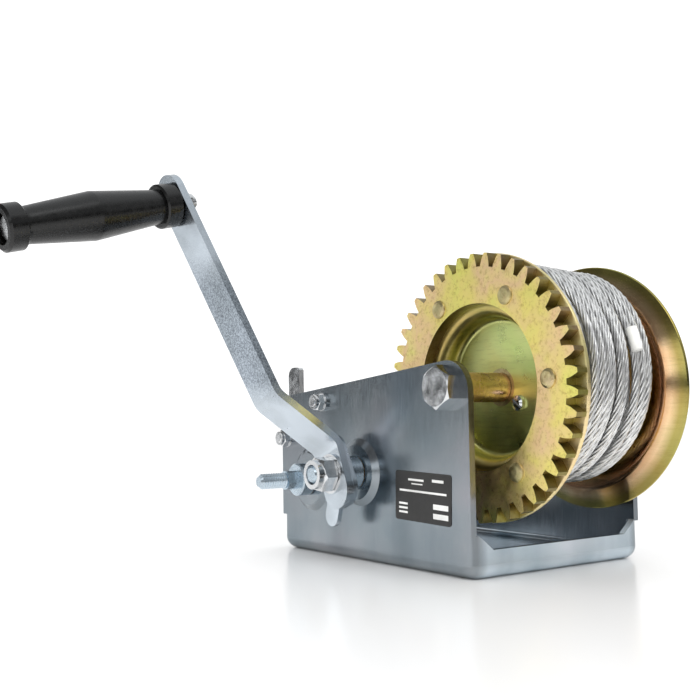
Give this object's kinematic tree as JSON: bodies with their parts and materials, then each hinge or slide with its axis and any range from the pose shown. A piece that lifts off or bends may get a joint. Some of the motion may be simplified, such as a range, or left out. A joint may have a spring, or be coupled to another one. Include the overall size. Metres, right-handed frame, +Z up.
{
  "type": "boat trailer hand winch",
  "caption": "Two-speed geared hand winch for a boat trailer: pressed steel frame, wire rope on a flanged drum, spur gears, ratchet pawl and a cranked handle with a turning grip.",
  "frame": {"origin": "centre of the four mounting slots, on the underside of the base", "axes": "+X along the drum axle away from the crank side, +Y from the drum end to the gear end, +Z up"},
  "size_m": [0.3627, 0.2528, 0.2454],
  "materials": {
    "frame_zinc": "blue-white zinc plate over pressed steel sheet, lightly brushed, bright",
    "crank_zinc": "blue-white zinc plate over flat bar, grey speckle",
    "bolt_zinc": "bright zinc plate",
    "shaft_zinc": "zinc plated turned steel",
    "gear_yellow_zinc": "yellow zinc plate with a pink tinge, slightly pitted",
    "drum_yellow_zinc": "yellow zinc plate, green and pink iridescence",
    "rivet_yellow_zinc": "yellow zinc plate",
    "spacer_yellow_zinc": "yellow zinc plate, orange-pink",
    "bushing_bronze": "sintered bronze, oiled",
    "nylon_nut": "bright zinc plate, with a nylon ring inside",
    "wire_rope": "galvanised wire rope, dull grey",
    "rope_sleeve": "white heat-shrunk plastic",
    "spring_steel": "zinc plated spring wire",
    "grip_plastic": "black moulded plastic, semi-gloss",
    "label_vinyl": "black printed vinyl"
  },
  "bodies": {
    "base": {"frame": "frame_zinc", "input_shaft_bushings": "bushing_bronze", "low_shaft_bushings": "bushing_bronze", "label_plate": "label_vinyl", "axle_bolt": "bolt_zinc", "axle_washer": "bolt_zinc", "axle_nut": "nylon_nut", "axle_spacers": "spacer_yellow_zinc", "pawl_bolt": "bolt_zinc", "pawl_sleeve": "shaft_zinc", "anchor_bolt": "bolt_zinc", "anchor_sleeve": "shaft_zinc", "small_washers": "bolt_zinc", "small_nuts": "nylon_nut", "pawl_spring": "spring_steel"},
    "drum": {"drum_barrel": "drum_yellow_zinc", "drum_near_flange": "drum_yellow_zinc", "drum_far_flange": "drum_yellow_zinc", "drum_hub_tube": "drum_yellow_zinc", "main_gear": "gear_yellow_zinc", "drum_rivets": "rivet_yellow_zinc", "hub_screw": "bolt_zinc", "hub_screw_nut": "bolt_zinc", "rope_clamp": "bolt_zinc", "rope_winding": "wire_rope", "rope_end_sleeve": "rope_sleeve"},
    "crank": {"input_shaft": "shaft_zinc", "drive_pinion": "shaft_zinc", "reduction_gear": "shaft_zinc", "input_shaft_spacers": "shaft_zinc", "input_shaft_circlip": "spring_steel", "crank_spacer": "shaft_zinc", "crank_arm": "crank_zinc", "crank_lock_plate": "crank_zinc", "crank_washer": "bolt_zinc", "crank_nut": "nylon_nut", "grip_bolt": "bolt_zinc", "grip_nut": "nylon_nut"},
    "grip": {"crank_grip": "grip_plastic"},
    "low": {"low_shaft": "shaft_zinc", "low_pinion": "shaft_zinc", "low_shaft_spacers": "shaft_zinc", "low_shaft_circlip": "spring_steel", "low_shaft_collar": "shaft_zinc", "ratchet_wheel": "shaft_zinc"},
    "pawl": {"pawl": "bolt_zinc", "pawl_spring_pin": "shaft_zinc"}
  },
  "joints": [
    {"name": "drum_spin", "type": "hinge", "parent": "base", "child": "drum", "pos_m": [0, -0.078, 0.1055], "axis": [1, 0, 0], "continuous": true},
    {"name": "crank_spin", "type": "hinge", "parent": "base", "child": "crank", "pos_m": [0, 0.00599, 0.055], "axis": [1, 0, 0], "continuous": true},
    {"name": "low_spin", "type": "hinge", "parent": "base", "child": "low", "pos_m": [0, 0.05959, 0.0485], "axis": [1, 0, 0], "continuous": true},
    {"name": "grip_spin", "type": "hinge", "parent": "crank", "child": "grip", "pos_m": [-0.16028, 0.07655, 0.22536], "axis": [-0.9681, -0.0958, -0.2313], "continuous": true},
    {"name": "pawl_tilt", "type": "hinge", "parent": "base", "child": "pawl", "pos_m": [-0.06205, 0.0876, 0.075], "axis": [1, 0, 0], "range_deg": [-12, 9.5], "deforming": ["pawl_spring"]}
  ],
  "couplings": [
    {"joint": "crank_spin", "follows": "drum_spin", "ratio": -3},
    {"joint": "low_spin", "follows": "drum_spin", "ratio": 6}
  ]
}
